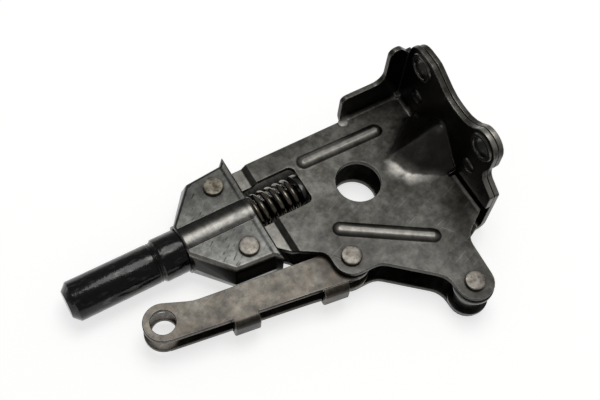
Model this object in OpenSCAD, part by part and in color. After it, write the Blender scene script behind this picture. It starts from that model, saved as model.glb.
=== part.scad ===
// Sprung chain tensioner: two pressed plates, a guided plunger and a pivoting arm.
// The plunger runs along X, the plates lie flat in XY, and the mounting flange stands up at x = 0.

/* [Plates] */
// Sheet thickness of both plates and of the arm
sheet = 2.2; // [2:0.1:2.4]
// Clear space between the two plates
plate_gap = 12.4; // [11.8:0.1:13]
// Distance of the plates' upper edge from the plunger axis
upper_edge_y = 17.8; // [17:0.1:18.2]
// Inside radius of every bend
bend_r = 2; // [1.5:0.1:2.5]
// Diameter of the large clearance hole
big_hole_d = 18; // [14:0.5:19]
// Distance of the large hole from the flange face
big_hole_x = 41.2; // [40:0.1:42]
// Width of the spring window
window_w = 17.4; // [17.2:0.1:18]
// Distance of the window's closed end from the flange face
window_x = 61.2; // [60:0.1:62]
// Width of a pressed rib
rib_w = 6; // [5:0.1:7]
// Height of a pressed rib
rib_h = 1.5; // [1:0.1:1.6]

/* [Flange] */
// Height of the flange holes above the plunger axis
flange_hole_z = 37.3; // [36:0.1:38]
// Spacing of the two flange holes
flange_spacing = 40.4; // [39:0.1:41]
// Distance of the upper flange hole from the plunger axis, along Y
flange_hole_y = 9.3; // [8:0.1:10]
// Bore of the eyelets in the flange
eyelet_bore_d = 8.2; // [6.6:0.1:8.6]
// Height of the side wall above the plunger axis
side_wall_z = 22; // [18:0.5:25]
// Height of the corner ear above the plunger axis
ear_z = 41; // [38:0.5:43]

/* [Plunger] */
// Rod diameter
rod_d = 16; // [15:0.1:16.4]
// Distance of the rod's nose from the flange face
nose_x = 161.7; // [155:0.1:170]
// Diameter of the collar behind the rod
collar_d = 17.5; // [17:0.1:18.5]
// Free travel of the plunger
travel = 3.5; // [2:0.1:3.6]
// Sheet thickness of the two cover halves
cover_sheet = 2; // [1.8:0.1:2.2]

/* [Spring] */
// Wire diameter
wire_d = 2.3; // [1.8:0.1:2.5]
// Outside diameter of the coil
coil_d = 16.4; // [15.6:0.1:16.6]
// Turns, the closed end turns included
turns = 6; // [5:0.5:7]

/* [Arm] */
// Overall depth of the folded arm
arm_depth = 11; // [10.6:0.1:11.2]
// Diameter of the eye at the arm's free end
eye_d = 9.5; // [8:0.1:10]

/* [Rivets] */
// Head diameter of every plate and cover rivet
head_d = 8; // [7:0.1:9]
// Head height of every plate and cover rivet
head_h = 1.6; // [1.2:0.1:2]

/* [Hidden] */
$fn = 48;

plate_steel = [0.36, 0.36, 0.35];
dark_steel = [0.16, 0.16, 0.16];
rivet_steel = [0.62, 0.61, 0.58];
arm_steel = [0.50, 0.47, 0.44];
over = 0.1;
slab = 0.01;

face_z = plate_gap / 2 + sheet;
flange_gap = 0.2;
flange_in = sheet + flange_gap;
flange_face_in = flange_in + sheet;
window_r = 2.5;
joggle_x = 77;
joggle_run = 2;
prong_end_x = 104;
prong_z = face_z - sheet;
wall_in_y = 18.4;
wall_start_x = 33;
ear_start_x = 13.4;
slit_y = -24;
flange_low_y = -44.6;
lobe_z = flange_hole_z + 7;
notch_z = 36.4;
relief = 1;
lower_hole_y = flange_hole_y - flange_spacing;
flange_rivet_places = [[7.4, 20.5], [-28.8, 20.5]];

pivot = [-60.8, -36.3];
anchor = [-25, -67.4];
lug_r = 7.5;
pin_d = 6;
running_gap = 0.05;
bush_d = 9;
spacer_d = 12;
washer_d = 16;
washer_t = 1.5;

cover_left_x = 114.3;
cover_corner_x = 101.6;
cover_lip_x = 86.2;
cover_end_x = 83.6;
cover_draft = 2.4;
lip_flare = 3;
lip_rise = 0.4;
channel_r = 9.8;
cover_face_z = prong_z + 0.3 + cover_sheet;
cover_rivet_x = 93;
cover_rivet_y = 14.5;
cover_rivet_d = 4;
seam_gap = 0.05;
grip_d = 2 * (channel_r - cover_sheet) - 0.2;
spigot_d = 9;
spigot_end_x = 56;
collar_end_x = cover_left_x;
collar_len = 10.5;
nose_chamfer = 2.6;
seat_t = 2;
eye = [-134.5, -25.2];
eye_r = 7.6;
arm_end_r = 8;
arm_slope = -8.3;

// Points of an arc that rounds the corner q between p and n with radius r
function unit(v) = v / norm(v);
function corner(p, q, n, r) =
    let(a = unit(p - q), b = unit(n - q), half = acos(a * b) / 2)
    let(c = q + unit(a + b) * r / sin(half), s = q + a * r / tan(half) - c)
    let(side = a[0] * b[1] - a[1] * b[0] > 0 ? -1 : 1, sweep = side * (180 - 2 * half))
    let(steps = max(2, ceil(abs(sweep) / 15)))
    [for (i = [0:steps]) let(w = sweep * i / steps)
        c + [s[0] * cos(w) - s[1] * sin(w), s[0] * sin(w) + s[1] * cos(w)]];

// Closed outline through [x, y, corner radius] points
function rounded(path) = let(n = len(path)) [
    for (i = [0:n - 1])
        let(q = path[i], p = path[(i + n - 1) % n], m = path[(i + 1) % n])
        let(xy = [q[0], q[1]])
        each q[2] == 0 ? [xy] : corner([p[0], p[1]], xy, [m[0], m[1]], q[2])
];

// Outline of a plate in plan, with its own points along the side wall and the flange
function plate_outline(bend_points) = rounded(concat([[-joggle_x, upper_edge_y, 0]], bend_points, [
    [anchor[0] + 8.7, anchor[1] + 17, 8],
    [anchor[0] + lug_r, anchor[1] - lug_r, lug_r - 0.01],
    [anchor[0] - lug_r, anchor[1] - lug_r, lug_r - 0.01],
    [anchor[0] - lug_r, anchor[1] + 6.5, 9],
    [pivot[0] + 8.5, pivot[1] - lug_r, 8],
    [pivot[0] - lug_r, pivot[1] - lug_r, lug_r - 0.01],
    [pivot[0] - lug_r, pivot[1] + 5.8, 4.5],
    [-joggle_x, -25.2, 0]
]));

// Outline of a flange in the YZ plane, from z = low up, with its own points on the +Y side
function flange_outline(low, side) = rounded(concat(side, [
    [flange_hole_y - 5, lobe_z, 7],
    [-8.5, 38, 16],
    [-22, 38, 14],
    [lower_hole_y + 3.5, lobe_z + 0.6, 6],
    [lower_hole_y - 7.4, lobe_z + 0.6, 7],
    [lower_hole_y - 7.4, flange_hole_z - 6, 6],
    [lower_hole_y - 4.2, 24, 5],
    [flange_low_y, 18.6, 1.5],
    [flange_low_y, low, 0]
]));

// Half of a rib's section: an arc from the rib's foot to its narrow flat top
function rib_section(w, h) = let(r = (w * w / 4 + h * h) / (2 * h)) concat(
    [[0, -over], [w / 2, -over]],
    [for (k = [1:-0.125:0.25]) [w / 2 * k, sqrt(r * r - pow(w / 2 * k, 2)) - r + h]],
    [[0, sqrt(r * r - pow(w / 8, 2)) - r + h]]
);

// Pressed rib with round ends, on z = 0, from a to b
module rib(a, b, w, h) {
    length = norm(b - a);
    half = rib_section(w, h);
    translate([a[0], a[1], 0]) rotate(atan2(b[1] - a[1], b[0] - a[0])) {
        for (s = [0, 1]) mirror([0, s, 0]) rotate([90, 0, 90]) linear_extrude(length) polygon(half);
        rotate(90) rotate_extrude(angle = 180) polygon(half);
        translate([length, 0, 0]) rotate(-90) rotate_extrude(angle = 180) polygon(half);
    }
}

// Quarter bend along Y, from flat at the bottom to upright on the +X side
module bend_along_y(x, z, y0, y1) {
    translate([x, y1, z]) rotate([90, 0, 0]) linear_extrude(y1 - y0) intersection() {
        difference() {
            circle(bend_r + sheet);
            circle(bend_r);
        }
        translate([0, -2 * (bend_r + sheet)]) square(2 * (bend_r + sheet));
    }
}

// Quarter bend along X, from flat at the bottom to upright on the +Y side
module bend_along_x(y, z, x0, x1) {
    translate([x0, y, z]) rotate([90, 0, 90]) linear_extrude(x1 - x0) intersection() {
        difference() {
            circle(bend_r + sheet);
            circle(bend_r);
        }
        translate([0, -2 * (bend_r + sheet)]) square(2 * (bend_r + sheet));
    }
}

// Gathered metal in the corner where the side wall's bend meets the flange's
module corner_fill() {
    size = bend_r + sheet - 0.5;
    low_z = face_z - 1.1;
    translate([-flange_face_in - bend_r, wall_in_y - bend_r, low_z]) cube([size, size, bend_r + 0.4]);
}

// Sheet standing in the YZ plane with its outer face at x
module upright_sheet(x, outline) {
    translate([x - sheet, 0, 0]) rotate([90, 0, 90]) linear_extrude(sheet) polygon(outline);
}

// Forked end of a plate: the joggle and two prongs, slotted for the cover rivets
module prongs() {
    side = [
        [-joggle_x, face_z], [-joggle_x - joggle_run, prong_z], [-prong_end_x, prong_z],
        [-prong_end_x, prong_z - sheet], [-joggle_x - joggle_run, prong_z - sheet],
        [-joggle_x, face_z - sheet]
    ];
    plan = [
        [-joggle_x + over, upper_edge_y], [-prong_end_x + 7, upper_edge_y],
        [-prong_end_x, upper_edge_y - 6], [-prong_end_x, 6 - upper_edge_y],
        [-prong_end_x + 7, -upper_edge_y], [-joggle_x - 7.5, -upper_edge_y],
        [-joggle_x, -25.2], [-joggle_x + over, -25.2]
    ];
    intersection() {
        translate([0, 30, 0]) rotate([90, 0, 0]) linear_extrude(60) polygon(side);
        difference() {
            linear_extrude(face_z) polygon(plan);
            for (s = [-1, 1]) translate([0, s * cover_rivet_y, -over]) linear_extrude(face_z + 1) {
                slot_r = cover_rivet_d / 2 + 0.3;
                translate([-cover_rivet_x, 0]) circle(slot_r);
                translate([-cover_rivet_x + travel, 0]) circle(slot_r);
                translate([-cover_rivet_x, -slot_r]) square([travel, 2 * slot_r]);
            }
        }
    }
}

module window() {
    far_x = window_x + window_r;
    translate([0, 0, -over]) linear_extrude(face_z + 5) {
        translate([-prong_end_x - 5, -window_w / 2]) square([prong_end_x + 5 - far_x, window_w]);
        translate([-far_x - over, window_r - window_w / 2])
            square([window_r + over, window_w - 2 * window_r]);
        for (s = [-1, 1]) translate([-far_x, s * (window_w / 2 - window_r)]) circle(window_r);
    }
}

// Round holes through a plate: large hole, pivot and anchor
module plate_holes() {
    for (h = [[-big_hole_x, -9.7, big_hole_d], [pivot[0], pivot[1], pin_d], [anchor[0], anchor[1], pin_d]])
        translate([h[0], h[1], -over]) cylinder(h = face_z + 5, d = h[2]);
}

// One pressed plate without its flange: flat sheet, fork, ribs, window and holes
module plate_body(outline) {
    ribs = [
        [[-56, 7.8], [-23, 7.2]],
        [[-58.6, -24.4], [-28.2, -43.8]]
    ];
    difference() {
        union() {
            translate([0, 0, face_z - sheet]) linear_extrude(sheet) polygon(outline);
            prongs();
            translate([0, 0, face_z]) for (r = ribs) rib(r[0], r[1], rib_w, rib_h);
        }
        window();
        plate_holes();
        translate([0, 0, face_z - sheet]) for (r = ribs) rib(r[0], r[1], rib_w - 1.6, rib_h - 0.3);
    }
}

// Holes through a flange for the eyelets and the two rivets
module flange_holes() {
    for (y = [flange_hole_y, lower_hole_y])
        translate([-10, y, flange_hole_z]) rotate([0, 90, 0]) cylinder(h = 12, d = eyelet_bore_d + 2);
    for (p = flange_rivet_places)
        translate([-10, p[0], p[1]]) rotate([0, 90, 0]) cylinder(h = 12, d = 5);
}

// Dart pressed across the flange bend, as a solid or as the hollow beneath it
module dart(grow) {
    foot_z = face_z - sheet + 0.2;
    inner_x = -flange_face_in + 1 - grow;
    // Each ball is [x, y, z, radius]
    balls = [
        [-23.8, -6.2, foot_z, 1], [-20.5, -15.5, foot_z, 1], [-8, -22.6, foot_z, 1], [-8, 4.9, foot_z, 1],
        [inner_x, -10.8, 20.6, 3], [inner_x, -22.6, 9, 1], [inner_x, 4.9, 9, 1]
    ];
    hull() for (b = balls) translate([b[0], b[1], b[2] + grow]) sphere(r = b[3], $fn = 16);
}

// Side wall along the upper edge, rising into the corner ear
module side_wall() {
    outline = rounded([
        [-wall_start_x, face_z + bend_r, 0], [-flange_face_in, face_z + bend_r, 0],
        [-flange_face_in, notch_z, 0], [-8.6, ear_z, 3], [-ear_start_x, ear_z, 2.8],
        [-ear_start_x, side_wall_z, 5], [-wall_start_x, side_wall_z, 2.5]
    ]);
    translate([0, wall_in_y + sheet, 0]) rotate([90, 0, 0]) linear_extrude(sheet) polygon(outline);
    bend_along_x(wall_in_y - bend_r, face_z + bend_r, -wall_start_x, -flange_face_in - bend_r);
}

module front_plate() {
    edge_x = flange_face_in + bend_r;
    wall_y = wall_in_y - bend_r;
    tab_x = flange_face_in + 0.5;
    color(plate_steel) difference() {
        union() {
            plate_body(plate_outline([
                [-wall_start_x - relief, upper_edge_y, 0], [-wall_start_x - relief, wall_y - relief, 0],
                [-wall_start_x, wall_y - relief, 0], [-wall_start_x, wall_y, 0], [-edge_x, wall_y, 0],
                [-edge_x, slit_y, 0], [-edge_x - relief, slit_y, 0],
                [-edge_x - relief, slit_y - relief, 0], [-tab_x, slit_y - relief, 0], [-tab_x, -43, 0]
            ]));
            bend_along_y(-edge_x, face_z + bend_r, slit_y, wall_y);
            corner_fill();
            upright_sheet(-flange_in, flange_outline(face_z + bend_r, [
                [wall_in_y + sheet, face_z + bend_r, 0], [wall_in_y + sheet, notch_z, 0],
                [flange_hole_y + 8.8, notch_z, 1], [flange_hole_y + 8.6, lobe_z, 6]
            ]));
            side_wall();
            dart(sheet * 0.8);
        }
        dart(-sheet * 0.3);
        flange_holes();
    }
}

module rear_plate() {
    edge_x = sheet + bend_r;
    color(plate_steel) {
        mirror([0, 0, 1]) plate_body(plate_outline([[-edge_x, upper_edge_y, 0], [-edge_x, flange_low_y, 0]]));
        bend_along_y(-edge_x, -face_z + sheet + bend_r, flange_low_y, upper_edge_y);
        difference() {
            upright_sheet(0, flange_outline(-face_z + sheet + bend_r, [
                [upper_edge_y, -face_z + sheet + bend_r, 0], [upper_edge_y, lobe_z, 7]
            ]));
            flange_holes();
        }
    }
}

// Eyelet that joins both flanges, with its rim on the inner face
module flange_eyelet(y) {
    rim_t = 0.8;
    color(dark_steel) translate([-flange_face_in, y, flange_hole_z]) rotate([0, 90, 0]) difference() {
        union() {
            cylinder(h = flange_face_in, d = eyelet_bore_d + 2);
            translate([0, 0, -rim_t]) cylinder(h = rim_t, d = eyelet_bore_d + 4.4);
        }
        translate([0, 0, -2]) cylinder(h = flange_face_in + 4, d = eyelet_bore_d);
    }
}
module flange_eyelet_upper() { flange_eyelet(flange_hole_y); }
module flange_eyelet_lower() { flange_eyelet(lower_hole_y); }

// Rivet of the two flanges: low head inside, flush outside
module flange_rivet(place) {
    color(dark_steel) translate([-flange_face_in, place[0], place[1]]) rotate([0, 90, 0]) {
        cylinder(h = flange_face_in, d = 5);
        translate([0, 0, -1]) cylinder(h = 1, d1 = 5, d2 = 7);
    }
}
module flange_rivet_upper() { flange_rivet(flange_rivet_places[0]); }
module flange_rivet_lower() { flange_rivet(flange_rivet_places[1]); }

// Rivet through both plates: shank with a low bevelled head at each end
module through_rivet(place, shank_d, seat_z) {
    bevel = 0.5;
    color(rivet_steel) translate([place[0], place[1], 0]) rotate_extrude() polygon([
        [0, -seat_z - head_h], [head_d / 2 - bevel, -seat_z - head_h],
        [head_d / 2, -seat_z - head_h + bevel], [head_d / 2, -seat_z], [shank_d / 2, -seat_z],
        [shank_d / 2, seat_z], [head_d / 2, seat_z], [head_d / 2, seat_z + head_h - bevel],
        [head_d / 2 - bevel, seat_z + head_h], [0, seat_z + head_h]
    ]);
}
module anchor_pin() { through_rivet(anchor, pin_d, face_z); }
module arm_pivot_pin() { through_rivet(pivot, pin_d, face_z); }
module cover_rivet_upper() { through_rivet([-cover_rivet_x, cover_rivet_y], cover_rivet_d, cover_face_z); }
module cover_rivet_lower() { through_rivet([-cover_rivet_x, -cover_rivet_y], cover_rivet_d, cover_face_z); }

// Plain round sleeve or washer about an upright axis
module ring(place, z0, z1, outer_d, inner_d) {
    translate([place[0], place[1], z0]) difference() {
        cylinder(h = z1 - z0, d = outer_d);
        translate([0, 0, -1]) cylinder(h = z1 - z0 + 2, d = inner_d);
    }
}
module anchor_spacer() {
    half = plate_gap / 2 - washer_t;
    color(dark_steel) ring(anchor, -half, half, spacer_d, pin_d);
}
module anchor_washer_front() {
    color(dark_steel) ring(anchor, plate_gap / 2 - washer_t, plate_gap / 2, washer_d, pin_d);
}
module anchor_washer_rear() {
    color(dark_steel) ring(anchor, -plate_gap / 2, washer_t - plate_gap / 2, washer_d, pin_d);
}
module arm_pivot_bush() {
    color(rivet_steel) ring(pivot, -arm_depth / 2, arm_depth / 2, bush_d, pin_d + 2 * running_gap);
}

// Stepped washer that the spring bears on at the window's closed end
module spring_seat() {
    color(dark_steel) translate([-window_x - seat_t, 0, 0]) rotate([0, 90, 0]) difference() {
        cylinder(h = seat_t, d = coil_d);
        translate([0, 0, -1]) cylinder(h = seat_t + 2, d = spigot_d + 0.6);
    }
}

// Coil spring with closed ends, swept as one tube
module spring() {
    end_gap = 0.05;
    x0 = -cover_end_x - 0.8 + wire_d / 2 + end_gap;
    x1 = -window_x - seat_t - wire_d / 2 - end_gap;
    sides = 8;
    steps = 20;
    rings = turns * steps;
    mean_r = (coil_d - wire_d) / 2;
    closed_pitch = wire_d + 0.15;
    open_pitch = (x1 - x0 - 2 * closed_pitch) / (turns - 2);
    function coil_x(u) = u < 1 ? x0 + closed_pitch * u
        : u > turns - 1 ? x1 - closed_pitch * (turns - u)
        : x0 + closed_pitch + open_pitch * (u - 1);
    points = [for (i = [0:rings]) let(u = i / steps, a = 360 * u)
        for (j = [0:sides - 1]) let(b = 360 * j / sides, r = mean_r + wire_d / 2 * cos(b))
            [coil_x(u) + wire_d / 2 * sin(b), r * cos(a), r * sin(a)]];
    skin = [for (i = [0:rings - 1], j = [0:sides - 1])
        let(k = (j + 1) % sides, a = i * sides, b = (i + 1) * sides)
            [a + j, a + k, b + k, b + j]];
    first = [for (j = [sides - 1:-1:0]) j];
    last = [for (j = [0:sides - 1]) rings * sides + j];
    color(dark_steel) polyhedron(points, concat([first], skin, [last]), convexity = 10);
}

// Turned rod: nose, collar, gripped length and spring spigot
module plunger_rod() {
    r = rod_d / 2;
    collar_x = collar_end_x + collar_len;
    color(dark_steel) rotate([0, 90, 0]) rotate_extrude() polygon([
        [0, -nose_x], [r - nose_chamfer, -nose_x], [r, -nose_x + nose_chamfer],
        [r, -collar_x], [collar_d / 2, -collar_x + collar_d / 2 - r], [collar_d / 2, -collar_end_x],
        [grip_d / 2, -collar_end_x], [grip_d / 2, -cover_end_x - 0.8],
        [spigot_d / 2, -cover_end_x - 0.8], [spigot_d / 2, -spigot_end_x - 1],
        [spigot_d / 2 - 1, -spigot_end_x], [0, -spigot_end_x]
    ]);
}

// Half-widths of a cover's face at its nose, corners and lip
function cover_plan(inset, spread) = let(
    pts = [
        [-cover_left_x - 3 * inset, 6.2 - 3 * inset], [-cover_corner_x - spread * 0.5 + inset * 0.6, 20.4],
        [-cover_lip_x, 21.8]
    ])
    [for (p = pts) [p[0], p[1] + spread - inset], for (i = [2:-1:0]) [pts[i][0], -pts[i][1] - spread + inset]];

// Drafted hexagonal pan of a cover, with its flared lip
module cover_pan(inset, past) {
    top = cover_face_z - inset;
    hull() {
        translate([0, 0, top - slab]) linear_extrude(slab) polygon(cover_plan(inset, 0));
        translate([0, 0, seam_gap - past]) linear_extrude(slab) polygon(cover_plan(inset, cover_draft));
    }
    hull() for (s = [[-cover_lip_x - slab, 0, 0], [-cover_end_x + past - slab, lip_flare, lip_rise]]) {
        half = 21.8 + s[1] - inset;
        base = half + cover_draft * (1 - s[1] / lip_flare * 0.8);
        translate([s[0], 0, 0]) rotate([90, 0, 90]) linear_extrude(slab) polygon([
            [half, top + s[2]], [base, seam_gap - past], [-base, seam_gap - past], [-half, top + s[2]]
        ]);
    }
}

// One drawn cover half with its half-round channel over the rod
module front_cover() {
    color(plate_steel) difference() {
        union() {
            cover_pan(0, 0);
            intersection() {
                translate([-collar_end_x, 0, 0]) rotate([0, 90, 0])
                    cylinder(h = collar_end_x - cover_end_x, r = channel_r);
                translate([-collar_end_x, -20, seam_gap]) cube([40, 40, 20]);
            }
        }
        cover_pan(cover_sheet, 1);
        translate([-collar_end_x - 1, 0, 0]) rotate([0, 90, 0])
            cylinder(h = collar_end_x - cover_end_x + 5, r = channel_r - cover_sheet);
        for (s = [-1, 1]) translate([-cover_rivet_x, s * cover_rivet_y, 0])
            cylinder(h = cover_face_z + 1, d = cover_rivet_d);
    }
}
module rear_cover() { mirror([0, 0, 1]) front_cover(); }

// Outline of the arm's two cheeks in plan, between the eye's and the pivot's rounds
arm_outline = rounded([
    [eye[0] + 3, eye[1] + 7, 0],
    [eye[0] + 13.5, eye[1] + 2.4, 16],
    [pivot[0] - 11, pivot[1] + arm_end_r - 0.6, 12],
    [pivot[0], pivot[1] + arm_end_r - 0.6, 0],
    [pivot[0] - 1, pivot[1] - arm_end_r, 0],
    [eye[0] - 1, eye[1] - eye_r - 0.1, 0]
]);
module arm_cheek() {
    polygon(arm_outline);
    translate(eye) circle(eye_r);
    translate(pivot) circle(arm_end_r);
}

// Folded web that joins the two cheeks along the arm's lower edge
module arm_web(x) {
    half = arm_depth / 2;
    drop = 3.6;
    width = 10;
    lower_y = -33.4 + tan(arm_slope) * (x + 131.8);
    profile = rounded([
        [2, half, 0], [-drop, half, 3.2], [-drop, -half, 3.2], [2, -half, 0], [2, sheet - half, 0],
        [sheet - drop, sheet - half, 0.7], [sheet - drop, half - sheet, 0.7], [2, half - sheet, 0]
    ]);
    translate([x, lower_y, 0]) rotate(arm_slope) rotate([90, 0, 90]) linear_extrude(width) polygon(profile);
}

module arm() {
    color(arm_steel) difference() {
        union() {
            for (z = [-arm_depth / 2, arm_depth / 2 - sheet])
                translate([0, 0, z]) linear_extrude(sheet) arm_cheek();
            arm_web(-111.6);
            arm_web(-76.2);
        }
        translate([eye[0], eye[1], -20]) cylinder(h = 40, d = eye_d);
        translate([pivot[0], pivot[1], -20]) cylinder(h = 40, d = bush_d);
    }
}

front_plate();
rear_plate();
flange_eyelet_upper();
flange_eyelet_lower();
flange_rivet_upper();
flange_rivet_lower();
anchor_pin();
anchor_spacer();
anchor_washer_front();
anchor_washer_rear();
arm_pivot_pin();
spring_seat();
spring();
plunger_rod();
front_cover();
rear_cover();
cover_rivet_upper();
cover_rivet_lower();
arm();
arm_pivot_bush();
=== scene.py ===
"""A sprung chain tensioner: two riveted pressings, a sprung plunger under drawn covers, and a folded arm."""
import math

import bmesh
import bpy
from mathutils import Matrix, Vector
from mathutils.bvhtree import BVHTree


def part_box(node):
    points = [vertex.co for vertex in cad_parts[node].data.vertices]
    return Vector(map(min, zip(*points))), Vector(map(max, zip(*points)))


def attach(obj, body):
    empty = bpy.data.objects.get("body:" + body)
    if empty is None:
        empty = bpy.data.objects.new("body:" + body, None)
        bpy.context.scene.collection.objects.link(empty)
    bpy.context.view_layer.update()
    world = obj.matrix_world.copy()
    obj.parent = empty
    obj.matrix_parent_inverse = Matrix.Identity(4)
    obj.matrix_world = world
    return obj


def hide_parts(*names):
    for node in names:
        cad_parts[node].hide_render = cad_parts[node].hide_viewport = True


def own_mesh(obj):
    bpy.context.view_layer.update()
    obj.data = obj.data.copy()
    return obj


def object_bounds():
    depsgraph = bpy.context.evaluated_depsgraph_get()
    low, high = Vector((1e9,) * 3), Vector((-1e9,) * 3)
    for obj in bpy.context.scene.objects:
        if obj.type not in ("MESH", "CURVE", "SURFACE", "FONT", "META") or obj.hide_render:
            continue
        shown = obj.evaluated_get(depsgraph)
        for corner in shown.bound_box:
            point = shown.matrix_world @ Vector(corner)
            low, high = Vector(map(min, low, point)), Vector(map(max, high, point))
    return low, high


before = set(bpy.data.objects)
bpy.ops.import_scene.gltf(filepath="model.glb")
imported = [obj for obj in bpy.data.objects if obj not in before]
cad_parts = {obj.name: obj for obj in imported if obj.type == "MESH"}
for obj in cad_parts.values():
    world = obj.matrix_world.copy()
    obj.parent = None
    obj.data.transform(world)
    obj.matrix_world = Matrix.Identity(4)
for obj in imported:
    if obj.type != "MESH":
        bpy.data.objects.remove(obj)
cad_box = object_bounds()

# Rear and front plates: the two halves of the bracket, blanked, ribbed and folded from 2.2 mm steel.
# The sheet is blackened and oiled; its faces turned up are a mottled grey, partly rubbed by handling and
# partly painted light, and its side faces are painted dark.
# The blanking dies leave a slightly rolled edge all round.
MM = 0.001
SHEET_EDGE = 0.32 * MM
SHEET_EDGE_STEPS = 2
CUT_ANGLE = 32
FLAT_ANGLE = 0.6
DOUBLES_GAP = 0.02 * MM
TOUCHING = 0.001 * MM
STRAY_SHARE = 0.6


def merged(node_name):
    """Bmesh copy of a CAD node, with its doubles merged and its flat faces made whole."""
    bm = bmesh.new()
    bm.from_mesh(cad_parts[node_name].data)
    bmesh.ops.remove_doubles(bm, verts=bm.verts, dist=DOUBLES_GAP)
    bmesh.ops.dissolve_limit(bm, angle_limit=math.radians(FLAT_ANGLE), verts=bm.verts, edges=bm.edges)
    return bm


def sharp_edges(bm, least_angle):
    """Edges whose two faces meet at more than least_angle degrees."""
    return [e for e in bm.edges if e.is_manifold and e.calc_face_angle() > math.radians(least_angle)]


def round_off(bm, edges, radius, segments):
    """Rounds edges, and brings back to the surface any corner that the rounding throws out of it."""
    surface = BVHTree.FromBMesh(bm)
    bmesh.ops.bevel(bm, geom=edges, offset=radius, offset_type="OFFSET", segments=segments, profile=0.5,
                    affect="EDGES", clamp_overlap=False, material=-1)
    for vert in bm.verts:
        near, _, _, gap = surface.find_nearest(vert.co)
        if gap > radius * STRAY_SHARE:
            vert.co = near


def finished(bm, name):
    """Object at the origin from a bmesh, with smooth faces."""
    mesh = bpy.data.meshes.new(name)
    for face in bm.faces:
        face.smooth = True
    bm.to_mesh(mesh)
    bm.free()
    piece = bpy.data.objects.new(name, mesh)
    bpy.context.scene.collection.objects.link(piece)
    return piece


def finished_sheet(bm, name):
    """Object from a sheet-metal bmesh, whose broad faces keep an even shade up to their rounded edges."""
    piece = finished(bm, name)
    weights = piece.modifiers.new("even_broad_faces", "WEIGHTED_NORMAL")
    weights.weight = 80
    weights.keep_sharp = True
    return piece


def fitted(piece, body, material, slot, *nodes):
    """Gives a piece its material and lets it ride on its body in place of its CAD nodes."""
    piece.data.materials.append(material)
    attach(piece, body)
    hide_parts(*nodes)


def linear(hex_colour):
    """sRGB hex string to a linear RGBA tuple."""
    parts = [int(hex_colour[i:i + 2], 16) / 255 for i in (1, 3, 5)]
    return tuple(c / 12.92 if c <= 0.04045 else ((c + 0.055) / 1.055) ** 2.4 for c in parts) + (1.0,)


def add(tree, kind, inputs=None, **settings):
    """Adds a shader node, sets its properties, and links or sets its inputs.

    Inputs go by name, or by number where names repeat: a Mix node blends colour 6 into colour 7.
    """
    made = tree.nodes.new("ShaderNode" + kind)
    for key, value in settings.items():
        setattr(made, key, value)
    for socket, value in (inputs or {}).items():
        if isinstance(value, bpy.types.NodeSocket):
            tree.links.new(value, made.inputs[socket])
        else:
            made.inputs[socket].default_value = value
    return made


def new_finish(name):
    """Empty material, its node tree and its shader."""
    material = bpy.data.materials.new(name)
    material.use_nodes = True
    return material, material.node_tree, material.node_tree.nodes["Principled BSDF"]


def per_mm(size):
    """Texture scale, in Object coordinates, of a pattern that repeats every size millimetres."""
    return 1 / (size * MM)


def streaks(tree, spot, angle, length, width):
    """Noise drawn out along one direction in the plates' plane, for scratches, rubs and runs of oil."""
    turned_to = add(tree, "Mapping", {"Vector": spot, "Rotation": (0.0, 0.0, math.radians(angle)),
                                      "Scale": (length * MM, width * MM, width * MM)}, vector_type="TEXTURE")
    drawn = add(tree, "TexNoise", {"Vector": turned_to.outputs[0], "Scale": 1.0, "Detail": 2.0})
    return drawn.outputs["Fac"]


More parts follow.
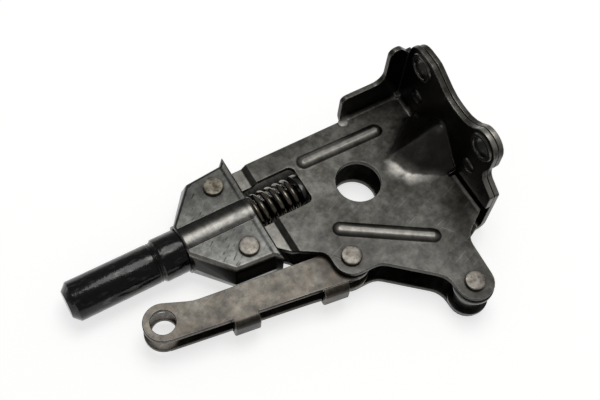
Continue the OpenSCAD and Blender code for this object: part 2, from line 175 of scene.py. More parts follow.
def pressed_steel(name, colours, roughness, runs=0.25, marks=None):
    """Blackened sheet steel: grey on faces turned up, dark on side faces, bright along its edges, all partly
    painted light and shade.

    colours are an upturned face's light and dark, the side-face colour (black oxide and painted shade), dried
    oil and bare steel (wear and painted highlight). runs is the share of dark oil runs, and marks a function
    that adds one piece's own dirt, rubbed places, painted shade and painted highlights.
    """
    light, dark, flank_oxide_and_shade, stain, bare = [linear(c) for c in colours]
    material, tree, shader = new_finish(name)
    place = add(tree, "TexCoord")
    spot = place.outputs["Object"]

    # Faces turned up are a lighter grey and side faces dark: partly rubbed wear and black oxide, partly
    # painted light and shade by which way each face turns
    facing = add(tree, "SeparateXYZ", {0: place.outputs["Normal"]})
    upright = add(tree, "Math", {0: facing.outputs["Z"]}, operation="ABSOLUTE")
    rubbed = add(tree, "MapRange", {"Value": upright.outputs[0], "From Min": 0.45, "From Max": 0.95},
                 interpolation_type="SMOOTHSTEP")
    cloud = add(tree, "TexNoise", {"Vector": spot, "Scale": per_mm(21), "Detail": 6.0, "Roughness": 0.62})
    patch = add(tree, "MapRange", {"Value": cloud.outputs["Fac"], "From Min": 0.36, "From Max": 0.64})
    face = add(tree, "Mix", {0: patch.outputs[0], 6: dark, 7: light}, data_type="RGBA")
    speckle = add(tree, "TexNoise", {"Vector": spot, "Scale": per_mm(3.2), "Detail": 6.0, "Roughness": 0.66})
    tone = add(tree, "MapRange", {"Value": speckle.outputs["Fac"], "From Min": 0.34, "From Max": 0.66,
                                  "To Min": 0.58, "To Max": 1.4})
    mottled = add(tree, "Mix", {0: 1.0, 6: face.outputs[2], 7: tone.outputs[0]}, data_type="RGBA",
                  blend_type="MULTIPLY")
    base = add(tree, "Mix", {0: rubbed.outputs[0], 6: flank_oxide_and_shade, 7: mottled.outputs[2]}, data_type="RGBA")

    # Oil has dried in brown islands and dark runs a few millimetres long, and inner corners are darkened with
    # painted shade
    islands = add(tree, "TexNoise", {"Vector": spot, "Scale": per_mm(7), "Detail": 6.0, "Roughness": 0.7,
                                     "Distortion": 0.6})
    stained = add(tree, "MapRange", {"Value": islands.outputs["Fac"], "From Min": 0.5, "From Max": 0.7,
                                     "To Max": 0.68})
    oiled = add(tree, "Mix", {0: stained.outputs[0], 6: base.outputs[2], 7: stain}, data_type="RGBA")
    # Painted shade: inner corners, found by ambient occlusion, take the dark side-face colour
    open_to = add(tree, "AmbientOcclusion", {"Distance": 2.4 * MM}, samples=6)
    corner_shade = add(tree, "MapRange", {"Value": open_to.outputs["AO"], "From Min": 0.9, "From Max": 0.45,
                                   "To Max": 0.8})
    painted_shade_mix = add(tree, "Mix", {0: corner_shade.outputs[0], 6: oiled.outputs[2], 7: flank_oxide_and_shade}, data_type="RGBA")
    dashes = add(tree, "MapRange", {"Value": streaks(tree, spot, 32, 3.5, 0.8), "From Min": 0.64,
                                    "From Max": 0.7, "To Max": runs})
    dirt_and_shade = add(tree, "Mix", {0: dashes.outputs[0], 6: painted_shade_mix.outputs[2], 7: flank_oxide_and_shade},
                data_type="RGBA").outputs[2]

    # Bare steel shows in long fine scratches and along the edges, where it is partly chipped wear and partly
    # a painted edge highlight
    rounded_edge_normal = add(tree, "Bevel", {"Radius": 0.5 * MM}, samples=6)
    surface = add(tree, "NewGeometry")
    agree = add(tree, "VectorMath", {0: rounded_edge_normal.outputs[0], 1: surface.outputs["Normal"]},
                operation="DOT_PRODUCT")
    corner = add(tree, "MapRange", {"Value": agree.outputs["Value"], "From Min": 0.995, "From Max": 0.94,
                                    "To Max": 1.7})
    chips_and_highlight = add(tree, "Math", {0: corner.outputs[0], 1: islands.outputs["Fac"]}, operation="MULTIPLY",
                use_clamp=True).outputs[0]
    one_way = add(tree, "MapRange", {"Value": streaks(tree, spot, 20, 16, 0.5), "From Min": 0.68,
                                     "From Max": 0.76, "To Max": 0.36})
    other_way = add(tree, "MapRange", {"Value": streaks(tree, spot, -52, 11, 0.45), "From Min": 0.7,
                                       "From Max": 0.78, "To Max": 0.3})
    scratch = add(tree, "Math", {0: one_way.outputs[0], 1: other_way.outputs[0]}, operation="MAXIMUM")
    on_faces = add(tree, "Math", {0: scratch.outputs[0], 1: rubbed.outputs[0]}, operation="MULTIPLY")

    # Whatever stands a little proud of the faces, such as a rib, is painted bright: partly rubbed wear,
    # partly a painted highlight on its crest
    axes = add(tree, "SeparateXYZ", {0: spot})
    height = add(tree, "Math", {0: axes.outputs["Z"]}, operation="ABSOLUTE")
    proud = add(tree, "MapRange", {"Value": height.outputs[0], "From Min": 8.9 * MM, "From Max": 9.7 * MM,
                                   "To Max": 0.85})
    low_enough = add(tree, "MapRange", {"Value": height.outputs[0], "From Min": 12 * MM,
                                        "From Max": 10.5 * MM})
    crest = add(tree, "Math", {0: proud.outputs[0], 1: low_enough.outputs[0]}, operation="MULTIPLY")
    rubs_and_highlights = add(tree, "Math", {0: crest.outputs[0], 1: rubbed.outputs[0]}, operation="MULTIPLY").outputs[0]
    if marks is not None:
        at = {"spot": spot, "x": axes.outputs["X"], "y": axes.outputs["Y"], "height": height.outputs[0],
              "upward": rubbed.outputs[0], "sideways": facing.outputs["Y"], "islands": islands.outputs["Fac"],
              "flank_oxide_and_shade": flank_oxide_and_shade}
        dirt_and_shade, chips_and_highlight, rubs_and_highlights = marks(tree, at, dirt_and_shade, chips_and_highlight, rubs_and_highlights)
    shiny = add(tree, "Math", {0: rubs_and_highlights, 1: speckle.outputs["Fac"]}, operation="MULTIPLY")
    thin = add(tree, "Math", {0: chips_and_highlight, 1: on_faces.outputs[0]}, operation="MAXIMUM")
    bright = add(tree, "Math", {0: thin.outputs[0], 1: shiny.outputs[0]}, operation="MAXIMUM")
    colour = add(tree, "Mix", {0: bright.outputs[0], 6: dirt_and_shade, 7: bare}, data_type="RGBA")

    # Rolled grain, drawn about twice as coarse as it is so that it shows
    grain = add(tree, "TexNoise", {"Vector": spot, "Scale": per_mm(0.8), "Detail": 3.0})
    sheen = add(tree, "MapRange", {"Value": islands.outputs["Fac"], "From Min": 0.3, "From Max": 0.7,
                                   "To Min": roughness + 0.08, "To Max": roughness - 0.08})
    skin = add(tree, "Bump", {"Height": grain.outputs["Fac"], "Strength": 0.12, "Distance": 0.05 * MM})
    swell = add(tree, "Bump", {"Height": cloud.outputs["Fac"], "Strength": 0.3, "Distance": 0.4 * MM,
                               "Normal": skin.outputs[0]})
    tree.links.new(colour.outputs[2], shader.inputs["Base Color"])
    tree.links.new(sheen.outputs[0], shader.inputs["Roughness"])
    tree.links.new(swell.outputs[0], shader.inputs["Normal"])
    shader.inputs["Metallic"].default_value = 1.0
    shader.inputs["Coat Weight"].default_value = 0.3
    shader.inputs["Coat Roughness"].default_value = 0.18
    return material


PRONG_X = -77 * MM
HIGHLIT_EDGE_X = -6.2 * MM
HIGHLIT_EDGE_Y = -24.5 * MM
# Painted highlights in mm, as x, y, z and radius: two at the dart's foot, one by the side wall, two in the
# corner
HIGHLIGHT_SPOTS = ((-25.5, -12, 8.5, 5), (-21, -17.5, 8.5, 5), (-31, 17.5, 8.6, 3), (-7.2, 17, 9.5, 2),
                (-6.3, 9.3, 9.6, 2.2))


def plate_marks(tree, at, dirt_and_shade, chips_and_highlight, rubs_and_highlights):
    """Bright rubbed prongs under the covers, and painted highlights along the edge beside the flange and in
    single spots.
    """
    prong = add(tree, "MapRange", {"Value": at["x"], "From Min": PRONG_X, "From Max": PRONG_X - 2 * MM,
                                   "To Max": 0.6})
    # Painted highlight: a band of bare steel along the edge beside the flange, on faces turned up
    across = add(tree, "MapRange", {"Value": at["x"], "From Min": HIGHLIT_EDGE_X - 0.9 * MM,
                                    "From Max": HIGHLIT_EDGE_X, "To Max": 1.8})
    along = add(tree, "MapRange", {"Value": at["y"], "From Min": HIGHLIT_EDGE_Y,
                                   "From Max": HIGHLIT_EDGE_Y - 1 * MM})
    edge = add(tree, "Math", {0: across.outputs[0], 1: along.outputs[0]}, operation="MULTIPLY")
    either = add(tree, "Math", {0: prong.outputs[0], 1: edge.outputs[0]}, operation="MAXIMUM")
    faced = add(tree, "Math", {0: either.outputs[0], 1: at["upward"]}, operation="MULTIPLY")
    worn_and_highlit = add(tree, "Math", {0: rubs_and_highlights, 1: faced.outputs[0]}, operation="MAXIMUM")
    # Painted highlights: bare steel in single round spots
    for x, y, z, radius in HIGHLIGHT_SPOTS:
        reach = add(tree, "VectorMath", {0: at["spot"], 1: (x * MM, y * MM, z * MM)}, operation="DISTANCE")
        near = add(tree, "MapRange", {"Value": reach.outputs["Value"], "From Min": radius * MM,
                                      "From Max": 0.3 * radius * MM, "To Max": 1.1})
        worn_and_highlit = add(tree, "Math", {0: worn_and_highlit.outputs[0], 1: near.outputs[0]}, operation="MAXIMUM")
    return dirt_and_shade, chips_and_highlight, worn_and_highlit.outputs[0]


# The dart is a blunt dent pressed across the flange's bend, and its box lies clear of the rib's end
DART_LOW = (-28 * MM, -23.9 * MM, 8.3 * MM)
DART_HIGH = (-4.5 * MM, 7 * MM, 28 * MM)
DART_OUT = Vector((-0.7071, 0, 0.7071))
DART_OUTWARD = 0.15
DART_SQUARE = 0.97
DART_GRID = 1.2 * MM
DART_RINGS = 4
DART_PASSES = 45
RIB_END_X = -17 * MM
RIB_END_Y = 2.5 * MM


def by_dart(face):
    """True for an outward face in the dart's corner of the plate, clear of the rib's end."""
    middle = face.calc_center_median()
    inside = all(a < c < b for a, c, b in zip(DART_LOW, middle, DART_HIGH))
    on_rib = middle.x < RIB_END_X and middle.y > RIB_END_Y
    return face.normal.dot(DART_OUT) > DART_OUTWARD and inside and not on_rib


def on_dart(face):
    """True for a slanted face of the dart itself."""
    return by_dart(face) and max(abs(c) for c in face.normal) < DART_SQUARE


def reaching_dart(face):
    """True for an outward face that reaches into the dart's box."""
    spans = [(min(v.co[i] for v in face.verts), max(v.co[i] for v in face.verts)) for i in range(3)]
    inside = all(low < b and high > a for (low, high), a, b in zip(spans, DART_LOW, DART_HIGH))
    return face.normal.dot(DART_OUT) > DART_OUTWARD and inside


def cut_faces(bm, wanted, axis, at):
    """Cuts the wanted faces along the plane that crosses an axis at one place."""
    faces = [f for f in bm.faces if wanted(f)]
    edges = list(dict.fromkeys(e for f in faces for e in f.edges))
    verts = list(dict.fromkeys(v for f in faces for v in f.verts))
    across = [float(axis == i) for i in range(3)]
    bmesh.ops.bisect_plane(bm, geom=faces + edges + verts, dist=TOUCHING, plane_co=[at * c for c in across],
                           plane_no=across)


def smooth_dart(bm):
    """Cuts the dart and the sheet round it into a fine grid and smooths them into one soft swelling."""
    bmesh.ops.triangulate(bm, faces=[f for f in bm.faces if reaching_dart(f)])
    for axis in range(3):
        cut_faces(bm, reaching_dart, axis, DART_LOW[axis])
        cut_faces(bm, reaching_dart, axis, DART_HIGH[axis])
    for axis in range(3):
        for k in range(1, int((DART_HIGH[axis] - DART_LOW[axis]) / DART_GRID) + 1):
            cut_faces(bm, by_dart, axis, DART_LOW[axis] + k * DART_GRID)
    around = {f for f in bm.faces if by_dart(f)}
    swell = {f for f in around if on_dart(f)}
    for _ in range(DART_RINGS):
        swell |= {n for f in swell for v in f.verts for n in v.link_faces if n in around}
    moved = [v for v in bm.verts if v.link_faces and swell.issuperset(v.link_faces)]
    for _ in range(DART_PASSES):
        bmesh.ops.smooth_vert(bm, verts=moved, factor=0.5, use_axis_x=True, use_axis_y=True, use_axis_z=True)


# Oiled black sheet steel: dull grey faces, side faces painted near black (oxide with painted shade), and a
# thin bright line along the edges (wear with a painted highlight)
PLATE_COLOURS = ("#666560", "#3b3a36", "#1d1b17", "#373229", "#a8a59d")
plate_steel = pressed_steel("oiled_black_sheet_steel", PLATE_COLOURS, 0.40, marks=plate_marks)
for plate in ("rear_plate", "front_plate"):
    bm = merged(plate)
    blanked = [e for e in sharp_edges(bm, CUT_ANGLE) if not any(on_dart(f) for f in e.link_faces)]
    round_off(bm, blanked, SHEET_EDGE, SHEET_EDGE_STEPS)
    if plate == "front_plate":
        smooth_dart(bm)
    fitted(finished_sheet(bm, plate + "_pressing"), "frame", plate_steel, "plate", plate)

# Torn end of the side wall's bend: folding the wall up tore the sheet in its relief notch.
# The tear is a flat lump of bare steel, rough and coloured pale, that fills the notch; its pale colour also
# paints in the highlight at the bend's end.
BURR_AT = Vector((-32.1, 16.6, 8.1)) * MM
BURR_HALF_SIZES = Vector((2.5, 2.1, 0.65)) * MM
BURR_AND_HIGHLIGHT_COLOURS = ("#c6c4bd", "#9b9992", "#6d6b66", "#7b7870", "#d8d5cc")
burr_steel_and_highlight = pressed_steel("torn_burr_steel_with_painted_highlight", BURR_AND_HIGHLIGHT_COLOURS, 0.62)
burr = bmesh.new()
bmesh.ops.create_icosphere(burr, subdivisions=3, radius=1.0, matrix=Matrix.LocRotScale(
    BURR_AT, None, BURR_HALF_SIZES))
burr_piece = finished(burr, "side_wall_burr")
burr_piece.data.materials.append(burr_steel_and_highlight)
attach(burr_piece, "frame")

# Anchor: a plain rivet through the lower lugs, with a spacer tube and two washers that keep the plates apart.
# The rivet is bare mild steel, set into two flat heads, and the turned tube and washers are blackened.
ROUND_STEPS = 72
ROUND_EDGE_STEPS = 3
CRISP_ROUND_ANGLE = 40
ALONG_X = (1, 0, 0)
ALONG_Z = (0, 0, 1)


def turned(name, centre, axis, profile, rounding):
    """Spins a profile of (radius, distance along the axis) points, in mm, and rounds its sharp rings."""
    along = Vector(axis)
    out = along.orthogonal().normalized()
    middle = Vector(centre)
    bm = bmesh.new()
    points = [bm.verts.new(middle + out * (r * MM) + along * (d * MM)) for r, d in profile]
    edges = [bm.edges.new(pair) for pair in zip(points, points[1:])]
    bmesh.ops.spin(bm, geom=points + edges, cent=middle, axis=along, angle=math.tau, steps=ROUND_STEPS,
                   use_merge=True)
    bmesh.ops.remove_doubles(bm, verts=bm.verts, dist=TOUCHING)
    bmesh.ops.recalc_face_normals(bm, faces=bm.faces)
    bmesh.ops.bevel(bm, geom=sharp_edges(bm, CUT_ANGLE), offset=rounding * MM, offset_type="OFFSET",
                    segments=ROUND_EDGE_STEPS, profile=0.5, affect="EDGES", clamp_overlap=True, material=-1)
    piece = finished(bm, name)
    piece.data.set_sharp_from_angle(angle=math.radians(CRISP_ROUND_ANGLE))
    return piece


def middle_of(node_name):
    """Centre of a CAD node's box, in metres."""
    low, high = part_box(node_name)
    return (low + high) / 2


def half_sizes(node_name):
    """Half of a CAD node's box along X, Y and Z, in mm."""
    low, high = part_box(node_name)
    return (high - low) / 2 / MM


def ring_outline(bore_r, outer_r, half_length):
    """Closed outline of a plain washer or tube, for turned()."""
    return [(bore_r, -half_length), (outer_r, -half_length), (outer_r, half_length), (bore_r, half_length),
            (bore_r, -half_length)]


RIVET_HEAD = 1.6
RIVET_EDGE = 0.3
# Crowned head as shares of its radius and the drop from its middle
RIVET_CROWN = ((0.5, 0.015), (0.8, 0.05), (1.0, 0.125))


def set_rivet(name, node_name, shank_r, body, material):
    """Two-headed rivet, with slightly crowned heads, that fills its CAD node."""
    head_r, _, half = half_sizes(node_name)
    side = [(head_r * share, half - drop) for share, drop in RIVET_CROWN]
    side += [(head_r, half - RIVET_HEAD), (shank_r, half - RIVET_HEAD)]
    outline = [(0, half)] + side + [(r, -d) for r, d in reversed(side)] + [(0, -half)]
    piece = turned(name, middle_of(node_name), ALONG_Z, outline, RIVET_EDGE)
    fitted(piece, body, material, "rivet", node_name)


def rubbed_rivet_steel(name, light, dark, stain):
    """Bare mild steel, hammered and rubbed: pale grey with brown specks."""
    material, tree, shader = new_finish(name)
    spot = add(tree, "TexCoord").outputs["Object"]
    mottle = add(tree, "TexNoise", {"Vector": spot, "Scale": per_mm(2.6), "Detail": 5.0, "Roughness": 0.65})
    patch = add(tree, "MapRange", {"Value": mottle.outputs["Fac"], "From Min": 0.36, "From Max": 0.62})
    face = add(tree, "Mix", {0: patch.outputs[0], 6: linear(dark), 7: linear(light)}, data_type="RGBA")
    speck = add(tree, "TexNoise", {"Vector": spot, "Scale": per_mm(1.4), "Detail": 4.0, "Roughness": 0.7})
    rusty = add(tree, "MapRange", {"Value": speck.outputs["Fac"], "From Min": 0.56, "From Max": 0.68,
                                   "To Max": 0.8})
    colour = add(tree, "Mix", {0: rusty.outputs[0], 6: face.outputs[2], 7: linear(stain)}, data_type="RGBA")
    hammered = add(tree, "Bump", {"Height": mottle.outputs["Fac"], "Strength": 0.35, "Distance": 0.15 * MM})
    tree.links.new(colour.outputs[2], shader.inputs["Base Color"])
    tree.links.new(hammered.outputs[0], shader.inputs["Normal"])
    shader.inputs["Metallic"].default_value = 1.0
    shader.inputs["Roughness"].default_value = 0.46
    return material


def black_oxide(name, colours, roughness, rub_size=(2.2, 2.2), rub_share=0.4, film_size=7, gloss=0.7):
    """Black-oxide steel under a film of oil: near black, with rubbed patches that shine.

    colours are the deep and the thin oxide and the rubbed steel, and rub_size and film_size are in mm.
    """
    deep, thin, rub = [linear(c) for c in colours]
    material, tree, shader = new_finish(name)
    spot = add(tree, "TexCoord").outputs["Object"]
    film = add(tree, "TexNoise", {"Vector": spot, "Scale": per_mm(film_size), "Detail": 4.0,
                                  "Roughness": 0.6})
    patch = add(tree, "MapRange", {"Value": film.outputs["Fac"], "From Min": 0.38, "From Max": 0.66})
    colour = add(tree, "Mix", {0: patch.outputs[0], 6: deep, 7: thin}, data_type="RGBA")
    rubbed = add(tree, "MapRange", {"Value": streaks(tree, spot, 0, *rub_size), "From Min": 0.56,
                                    "From Max": 0.74, "To Max": rub_share})
    shown = add(tree, "Mix", {0: rubbed.outputs[0], 6: colour.outputs[2], 7: rub}, data_type="RGBA")
    sheen = add(tree, "MapRange", {"Value": film.outputs["Fac"], "From Min": 0.35, "From Max": 0.65,
                                   "To Min": roughness + 0.1, "To Max": roughness - 0.08})
    skin = add(tree, "Bump", {"Height": film.outputs["Fac"], "Strength": 0.4, "Distance": 0.25 * MM})
    tree.links.new(shown.outputs[2], shader.inputs["Base Color"])
    tree.links.new(sheen.outputs[0], shader.inputs["Roughness"])
    tree.links.new(skin.outputs[0], shader.inputs["Normal"])
    tree.links.new(skin.outputs[0], shader.inputs["Coat Normal"])
    shader.inputs["Metallic"].default_value = 1.0
    shader.inputs["Coat Weight"].default_value = gloss
    shader.inputs["Coat Roughness"].default_value = 0.09
    return material


# Rivet heads look pale and warm against the sheet, and the blackened rings nearly vanish in the gap
rivet_steel = rubbed_rivet_steel("rubbed_bare_rivet_steel", "#9a958c", "#66615a", "#4f4537")
dark_steel = black_oxide("oiled_black_oxide_steel", ("#2a2a28", "#3f3e3a", "#77746c"), 0.38)
PIN_R = 3.0
RING_EDGE = 0.2
set_rivet("anchor_rivet", "anchor_pin", PIN_R, "frame", rivet_steel)
for ring, ring_name in (("anchor_spacer", "anchor_spacer_tube"),
                        ("anchor_washer_front", "anchor_washer_upper"),
                        ("anchor_washer_rear", "anchor_washer_lower")):
    ring_r, _, ring_half = half_sizes(ring)
    wall = ring_outline(PIN_R, ring_r, ring_half)
    fitted(turned(ring_name, middle_of(ring), ALONG_Z, wall, RING_EDGE), "frame", dark_steel, "dark", ring)

# Arm: two cheeks and two webs folded from one strip of steel, with an eye at its free end.
# Its other end goes between the plates' lugs, where it swings on the pivot rivet.
# Rubbed strip steel looks a warm grey with faint brown tints, and its cut edges and side faces are black,
# oxide darkened further with painted shade.
ARM_COLOURS = ("#6d685f", "#3a352e", "#1e1c18", "#4b3f33", "#98938a")
arm_steel = pressed_steel("rubbed_arm_strip_steel", ARM_COLOURS, 0.42)
bm = merged("arm")
round_off(bm, sharp_edges(bm, CUT_ANGLE), SHEET_EDGE, SHEET_EDGE_STEPS)
fitted(finished_sheet(bm, "arm_strip"), "arm", arm_steel, "arm", "arm")

# Arm pivot: a turned bush, pressed into the arm, turns on a rivet set through both plates.
# Both are bare mild steel like the anchor rivet, with a running clearance between them.
BUSH_CLEARANCE = 0.05
bush_r, _, bush_half = half_sizes("arm_pivot_bush")
bush_wall = ring_outline(PIN_R + BUSH_CLEARANCE, bush_r, bush_half)
bush = turned("arm_bush", middle_of("arm_pivot_bush"), ALONG_Z, bush_wall, RING_EDGE)
fitted(bush, "arm", rivet_steel, "rivet", "arm_pivot_bush")
set_rivet("arm_pivot_rivet", "arm_pivot_pin", PIN_R, "frame", rivet_steel)

# Spring: coiled from oil-tempered wire with a closed turn at each end, in the window of the plates.
# It pushes the rod's shoulder away from the seat washer, and the plunger's travel squashes it.
# The wire is dark and oily, so each turn carries one small brown glint.
WIRE_R = 1.15 * MM
WIRE_SIDES = 16
CLOSED_PITCH = 2.45 * MM
TURNS = 6
STEPS_PER_TURN = 40
CRISP_WIRE_ANGLE = 50
spring_steel = black_oxide("oil_tempered_spring_wire", ("#3f3a32", "#6b6354", "#b5ad9b"), 0.24, (3, 3), 0.3)
low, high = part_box("spring")
coil_r = (high.y - low.y) / 2 - WIRE_R
first_x, last_x = low.x + WIRE_R, high.x - WIRE_R
open_pitch = (last_x - first_x - 2 * CLOSED_PITCH) / (TURNS - 2)
bm = bmesh.new()
wire = bmesh.ops.create_circle(bm, segments=WIRE_SIDES, radius=WIRE_R)["verts"]
bmesh.ops.transform(bm, verts=wire, matrix=Matrix.Translation((first_x, coil_r, 0)))
section = wire + bm.edges[:]
for turns, pitch in ((1, CLOSED_PITCH), (TURNS - 2, open_pitch), (1, CLOSED_PITCH)):
    swept = bmesh.ops.spin(bm, geom=section, cent=(0, 0, 0), axis=ALONG_X, angle=math.tau * turns,
                           steps=turns * STEPS_PER_TURN, dvec=(pitch / STEPS_PER_TURN, 0, 0))
    section = swept["geom_last"]
bmesh.ops.remove_doubles(bm, verts=bm.verts, dist=TOUCHING)
bmesh.ops.holes_fill(bm, edges=bm.edges)
bmesh.ops.recalc_face_normals(bm, faces=bm.faces)
coil = finished(bm, "coil_spring")
coil.data.set_sharp_from_angle(angle=math.radians(CRISP_WIRE_ANGLE))
fitted(coil, "frame", spring_steel, "spring", "spring")
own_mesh(coil)

# Spring seat: a turned washer of blackened steel at the closed end of the window.
# The spring's own push holds it against the plates.
SEAT_BORE_R = 4.8
SEAT_EDGE = 0.25
seat_half, seat_r, _ = half_sizes("spring_seat")
seat_wall = ring_outline(SEAT_BORE_R, seat_r, seat_half)
seat = turned("spring_seat_washer", middle_of("spring_seat"), ALONG_X, seat_wall, SEAT_EDGE)
fitted(seat, "frame", dark_steel, "dark", "spring_seat")

# Plunger rod: turned bar with a chamfered nose, two tool grooves and a collar that butts against the covers.
# The covers grip its stepped-down end, and a spigot beyond that carries the spring.
# Its black oxide is deep and oily, so that it shows little more than broken streaks of light.
ROD_R = 8.0
NOSE_CHAMFER = 2.6
COLLAR_R = 8.75
COLLAR_LENGTH = 10.5
GROOVE_PITCH = 1.0
LAST_GROOVE = 0.9
GRIP_R = 7.7
SHOULDER_SETBACK = 0.8
SPIGOT_R = 4.5
SPIGOT_CHAMFER = 1.0
ROD_EDGE = 0.3
# One groove and the land after it, as depth and distance from the groove's start
GROOVE = ((0.25, 0.15), (0.25, 0.45), (0, 0.6), (0, 0.9))
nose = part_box("plunger_rod")[0].x / MM
spigot_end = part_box("plunger_rod")[1].x / MM
collar_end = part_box("front_cover")[0].x / MM
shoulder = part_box("front_cover")[1].x / MM - SHOULDER_SETBACK
collar = collar_end - COLLAR_LENGTH
first_groove = collar - LAST_GROOVE - GROOVE_PITCH
rod_outline = [(0, nose), (ROD_R - NOSE_CHAMFER, nose), (ROD_R, nose + NOSE_CHAMFER), (ROD_R, first_groove)]
for start in (first_groove, first_groove + GROOVE_PITCH):
    rod_outline += [(ROD_R - depth, start + along) for depth, along in GROOVE]
rod_outline += [(COLLAR_R, collar + COLLAR_R - ROD_R), (COLLAR_R, collar_end), (GRIP_R, collar_end)]
rod_outline += [(GRIP_R, shoulder), (SPIGOT_R, shoulder), (SPIGOT_R, spigot_end - SPIGOT_CHAMFER)]
rod_outline += [(SPIGOT_R - SPIGOT_CHAMFER, spigot_end), (0, spigot_end)]
rod_steel = black_oxide("black_oxide_turned_bar", ("#121211", "#1f1f1e", "#8d8c87"), 0.28, (5, 1.6), 0.22,
                        film_size=2.4, gloss=0.5)
rod = turned("rod", (0, 0, 0), ALONG_X, rod_outline, ROD_EDGE)
fitted(rod, "plunger", rod_steel, "rod", "plunger_rod")

# Covers: two halves drawn from 2 mm sheet steel, each with a round channel over the rod and a flared lip.
# Two long rivets hold them to each other, through slots in the prongs of the plates.
LIP_CREASE_X = -86.3 * MM
RIM_HIGHLIGHT_FOOT = 7.5 * MM
RIM_HIGHLIGHT_TOP = 8.5 * MM
RIM_Z = 8.4 * MM
RIM_RADIUS = 1.1 * MM
RIM_STEPS = 4
RIM_ANGLE = 35
COVER_CUT_ANGLE = 34
COVER_CRISP_ANGLE = 25
SKIRT_CORNER_X = -104 * MM
SEAM_Z = 0.3 * MM
COVER_PIN_R = 2.0


def cover_marks(tree, at, dirt_and_shade, chips_and_highlight, rubs_and_highlights):
    """Painted shade on the channel's upper side and in the lip's crease, and a painted highlight along the
    rim on the other side.
    """
    # Painted shade: faces turned towards +Y, the channel's upper side, take the dark side-face colour
    upper = add(tree, "MapRange", {"Value": at["sideways"], "From Min": -0.15, "From Max": 0.25,
                                   "To Max": 0.75}, interpolation_type="SMOOTHSTEP")
    painted_shade_mix = add(tree, "Mix", {0: upper.outputs[0], 6: dirt_and_shade, 7: at["flank_oxide_and_shade"]}, data_type="RGBA")
    # Painted shade: a dark line along the lip's crease, made ragged by the oil islands
    away = add(tree, "Math", {0: at["x"], 1: LIP_CREASE_X}, operation="SUBTRACT")
    gap = add(tree, "Math", {0: away.outputs[0]}, operation="ABSOLUTE")
    line = add(tree, "MapRange", {"Value": gap.outputs[0], "From Min": 0.9 * MM, "From Max": 0.2 * MM,
                                  "To Max": 1.7})
    ragged = add(tree, "Math", {0: line.outputs[0], 1: at["islands"]}, operation="MULTIPLY", use_clamp=True)
    creased = add(tree, "Mix", {0: ragged.outputs[0], 6: painted_shade_mix.outputs[2], 7: at["flank_oxide_and_shade"]}, data_type="RGBA")
    # Painted highlight: a bright band round the rim, below the face, kept off the painted-shade side
    above = add(tree, "MapRange", {"Value": at["height"], "From Min": RIM_HIGHLIGHT_FOOT - 1 * MM,
                                   "From Max": RIM_HIGHLIGHT_FOOT})
    below = add(tree, "MapRange", {"Value": at["height"], "From Min": RIM_HIGHLIGHT_TOP,
                                   "From Max": RIM_HIGHLIGHT_TOP - 0.2 * MM, "To Max": 1.6})
    rim_chips = add(tree, "Math", {0: chips_and_highlight, 1: above.outputs[0]}, operation="MULTIPLY")
    rim_highlight = add(tree, "Math", {0: above.outputs[0], 1: below.outputs[0]}, operation="MULTIPLY")
    worn_and_highlit = add(tree, "Math", {0: rubs_and_highlights, 1: rim_highlight.outputs[0]}, operation="MAXIMUM")
    clean = add(tree, "Math", {0: 1.0, 1: upper.outputs[0]}, operation="SUBTRACT")
    shown = add(tree, "Math", {0: worn_and_highlit.outputs[0], 1: clean.outputs[0]}, operation="MULTIPLY")
    return creased.outputs[2], rim_chips.outputs[0], shown.outputs[0]


# Oiled drawn steel: a cooler grey than the plates, with dark runs of oil and nearly black skirts, oxide
# darkened with painted shade
COVER_COLOURS = ("#767672", "#424240", "#171613", "#37332c", "#a29f97")
cover_steel = pressed_steel("oiled_drawn_cover_steel", COVER_COLOURS, 0.36, runs=0.8, marks=cover_marks)
# The rim is drawn round and the cut edges are only broken, while every other corner stays crisp
for cover in ("rear_cover", "front_cover"):
    bm = merged(cover)
    rim = [e for e in sharp_edges(bm, RIM_ANGLE) if e.is_convex and all(abs(v.co.z) > RIM_Z for v in e.verts)]
    round_off(bm, rim, RIM_RADIUS, RIM_STEPS)
    cut_edges = [e for e in sharp_edges(bm, COVER_CUT_ANGLE)
                 if all(v.co.x > SKIRT_CORNER_X for v in e.verts)
                 and any(abs(v.co.z) > SEAM_Z for v in e.verts)]
    for edge in set(sharp_edges(bm, COVER_CRISP_ANGLE)).difference(cut_edges):
        edge.smooth = False
    round_off(bm, cut_edges, SHEET_EDGE, SHEET_EDGE_STEPS)
    fitted(finished_sheet(bm, cover + "_drawing"), "plunger", cover_steel, "plate", cover)
set_rivet("cover_rivet_lower_set", "cover_rivet_lower", COVER_PIN_R, "plunger", rivet_steel)
# The upper rivet's head has soaked up more oil and looks browner than the others
stained_rivet = rubbed_rivet_steel("oil_stained_rivet_steel", "#8f897c", "#4c463c", "#40362a")
set_rivet("cover_rivet_upper_set", "cover_rivet_upper", COVER_PIN_R, "plunger", stained_rivet)

# Flange eyelets and rivets: two steel eyelets, rolled over at their rims, line the flanges' bolt holes.
# Two low dome-headed rivets join the flanges below them. All four are blackened like the washers.
EYELET_BORE_R = 4.1
EYELET_TUBE_R = 5.1
EYELET_ROLL = 0.8
EYELET_RIM_SLOPE = 0.6
EYELET_LEAD_IN = 0.4
EYELET_LEAD_OUT = 0.5
EYELET_EDGE = 0.3
FLANGE_SHANK_R = 2.5
DOME_HEIGHT = 1.0
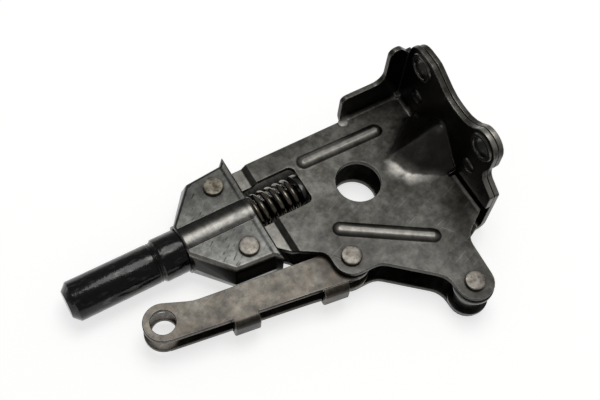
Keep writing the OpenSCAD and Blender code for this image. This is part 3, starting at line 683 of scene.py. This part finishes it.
# Low dome as shares of the head's radius and the drop from its top
DOME = ((0.4, 0.1), (0.75, 0.4), (1.0, DOME_HEIGHT))
for eyelet in ("flange_eyelet_upper", "flange_eyelet_lower"):
    low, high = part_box(eyelet)
    middle = middle_of(eyelet)
    rim_r = half_sizes(eyelet).y
    top, foot = low.x / MM, high.x / MM
    rolled = [(EYELET_BORE_R, foot), (EYELET_BORE_R, top + EYELET_LEAD_IN),
              (EYELET_BORE_R + EYELET_LEAD_OUT, top), (rim_r - EYELET_RIM_SLOPE, top),
              (rim_r, top + EYELET_ROLL), (EYELET_TUBE_R, top + EYELET_ROLL), (EYELET_TUBE_R, foot),
              (EYELET_BORE_R, foot)]
    piece = turned(eyelet + "_rolled", (0, middle.y, middle.z), ALONG_X, rolled, EYELET_EDGE)
    fitted(piece, "frame", dark_steel, "dark", eyelet)
for rivet in ("flange_rivet_upper", "flange_rivet_lower"):
    low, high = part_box(rivet)
    middle = middle_of(rivet)
    head_r = half_sizes(rivet).y
    top, foot = low.x / MM, high.x / MM
    dome = [(0, top)] + [(head_r * share, top + drop) for share, drop in DOME]
    dome += [(FLANGE_SHANK_R, top + DOME_HEIGHT), (FLANGE_SHANK_R, foot), (0, foot)]
    piece = turned(rivet + "_set", (0, middle.y, middle.z), ALONG_X, dome, RING_EDGE)
    fitted(piece, "frame", dark_steel, "dark", rivet)

# Floor: a sheet of matt white studio board that the tensioner lies on, wide enough to fill the view.
# It glows a little for the camera and for reflections alone, so that it looks white and keeps the shadow.
FLOOR_HALF_WIDTH = 3.0
BOARD_GLOW = 0.68
board = bmesh.new()
bmesh.ops.create_grid(board, x_segments=1, y_segments=1, size=FLOOR_HALF_WIDTH,
                      matrix=Matrix.Translation((0, 0, cad_box[0][2])))
floor = finished(board, "studio_board")
paper, paper_tree, paper_shader = new_finish("matt_white_board")
seen_by = add(paper_tree, "LightPath")
direct = add(paper_tree, "Math", {0: seen_by.outputs["Is Camera Ray"], 1: seen_by.outputs["Is Glossy Ray"]},
             operation="MAXIMUM")
seen = add(paper_tree, "Math", {0: direct.outputs[0], 1: seen_by.outputs["Is Transmission Ray"]},
           operation="MAXIMUM")
glow = add(paper_tree, "Math", {0: seen.outputs[0], 1: BOARD_GLOW}, operation="MULTIPLY")
paper_shader.inputs["Base Color"].default_value = linear("#cbcbc9")
paper_shader.inputs["Roughness"].default_value = 0.9
paper_shader.inputs["Specular IOR Level"].default_value = 0.0
paper_shader.inputs["Emission Color"].default_value = linear("#ffffff")
paper_tree.links.new(glow.outputs[0], paper_shader.inputs["Emission Strength"])
floor.data.materials.append(paper)

# Light: an even white tent round the table, and one square soft box high over the flange end.
# The box gives the rivet heads their highlights and lights the dart's foot, where a highlight is painted as
# well.
TENT_LEVEL = 0.24
BOX_SIZE = 0.36
BOX_POWER = 1.75
BOX_AT = Vector((0.02, 0.09, 0.68))
BOX_AIM = Vector((-0.06, -0.02, 0.0))
world = bpy.data.worlds.new("white_tent")
world.use_nodes = True
tent = world.node_tree.nodes["Background"]
tent.inputs["Color"].default_value = linear("#ffffff")
tent.inputs["Strength"].default_value = TENT_LEVEL
bpy.context.scene.world = world
soft_box = bpy.data.lights.new("overhead_soft_box", "AREA")
soft_box.shape = "SQUARE"
soft_box.size = BOX_SIZE
soft_box.energy = BOX_POWER
soft_box_object = bpy.data.objects.new("overhead_soft_box", soft_box)
box_turn = (BOX_AT - BOX_AIM).to_track_quat("Z", "Y").to_matrix().to_4x4()
soft_box_object.matrix_world = Matrix.Translation(BOX_AT) @ box_turn
bpy.context.scene.collection.objects.link(soft_box_object)

# Camera: a 60 mm lens from above and in front of the plunger, rolled a little as the photograph is.
# Its three directions and its place, in metres, come from fitting the photograph's holes and edges.
CAMERA_AT = Vector((-0.1806, -0.1545, 0.3485))
CAMERA_RIGHT = Vector((0.86198, -0.50181, 0.07189))
CAMERA_DOWN = Vector((-0.41198, -0.77608, -0.47747))
CAMERA_AHEAD = Vector((0.29539, 0.38195, -0.8757))
lens = bpy.data.cameras.new("camera")
lens.lens = 60.0
lens.sensor_width = 36.0
lens.sensor_fit = "HORIZONTAL"
lens.clip_start = 0.01
camera = bpy.data.objects.new("camera", lens)
camera_turn = Matrix((CAMERA_RIGHT, -CAMERA_DOWN, -CAMERA_AHEAD)).transposed().to_4x4()
camera.matrix_world = Matrix.Translation(CAMERA_AT) @ camera_turn
bpy.context.scene.collection.objects.link(camera)
bpy.context.scene.camera = camera
bpy.context.scene.view_settings.view_transform = "Standard"
